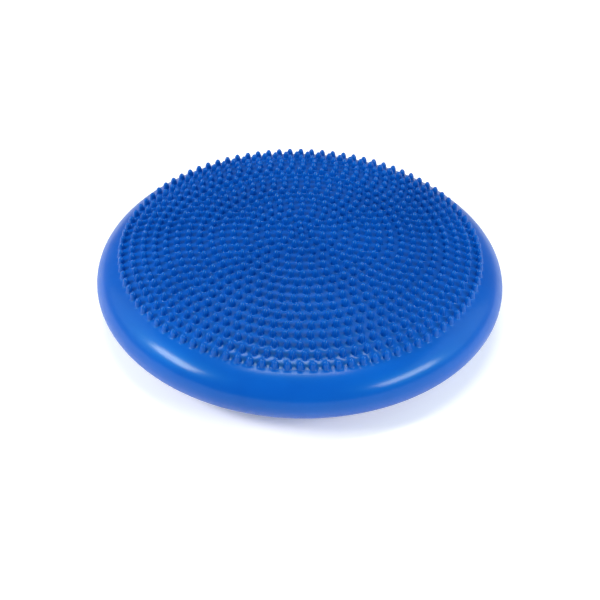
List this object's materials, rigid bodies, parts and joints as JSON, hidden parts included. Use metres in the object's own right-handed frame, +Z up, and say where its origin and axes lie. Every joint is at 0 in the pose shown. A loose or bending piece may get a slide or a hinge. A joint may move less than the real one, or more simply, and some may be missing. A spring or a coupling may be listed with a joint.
{
  "type": "wobble cushion",
  "caption": "Round air-filled balance cushion with a domed, nubbed top, a smooth bulging rim and a needle valve in its underside.",
  "frame": {"origin": "centre of the flat contact patch under the cushion, on the floor", "axes": "+Z up, square to the floor, through the middle of the disc; the valve is on the +Y side of the underside"},
  "size_m": [0.33, 0.33, 0.0808],
  "materials": {
    "pvc_skin": "gloss",
    "valve_plastic": "satin",
    "valve_rubber": "matte",
    "plug_plastic": "satin"
  },
  "bodies": {
    "base": {"floor_panel": "pvc_skin", "valve_housing": "valve_plastic", "valve_core": "valve_rubber"},
    "lower_wall": {"lower_rim_wall": "pvc_skin"},
    "upper_wall": {"upper_rim_wall": "pvc_skin"},
    "top": {"nub_panel": "pvc_skin"},
    "plug": {"valve_plug": "plug_plastic"}
  },
  "joints": [
    {"name": "press", "type": "slide", "parent": "base", "child": "lower_wall", "axis": [0, 0, 1], "range_m": [-0.006, 0], "stiffness_N_per_m": 20000, "deforming": ["lower_rim_wall"]},
    {"name": "tilt_fore_aft", "type": "hinge", "parent": "lower_wall", "child": "upper_wall", "pos_m": [0, 0, 0.033], "axis": [1, 0, 0], "range_deg": [-4.5, 4.5], "stiffness_Nm_per_rad": 200, "deforming": ["lower_rim_wall", "upper_rim_wall"]},
    {"name": "tilt_sideways", "type": "hinge", "parent": "upper_wall", "child": "top", "pos_m": [0, 0, 0.033], "axis": [0, 1, 0], "range_deg": [-4.5, 4.5], "stiffness_Nm_per_rad": 200, "deforming": ["upper_rim_wall"]},
    {"name": "valve_plug_pull", "type": "slide", "parent": "base", "child": "plug", "axis": [0, 0, -1], "range_m": [0, 0.012]}
  ]
}
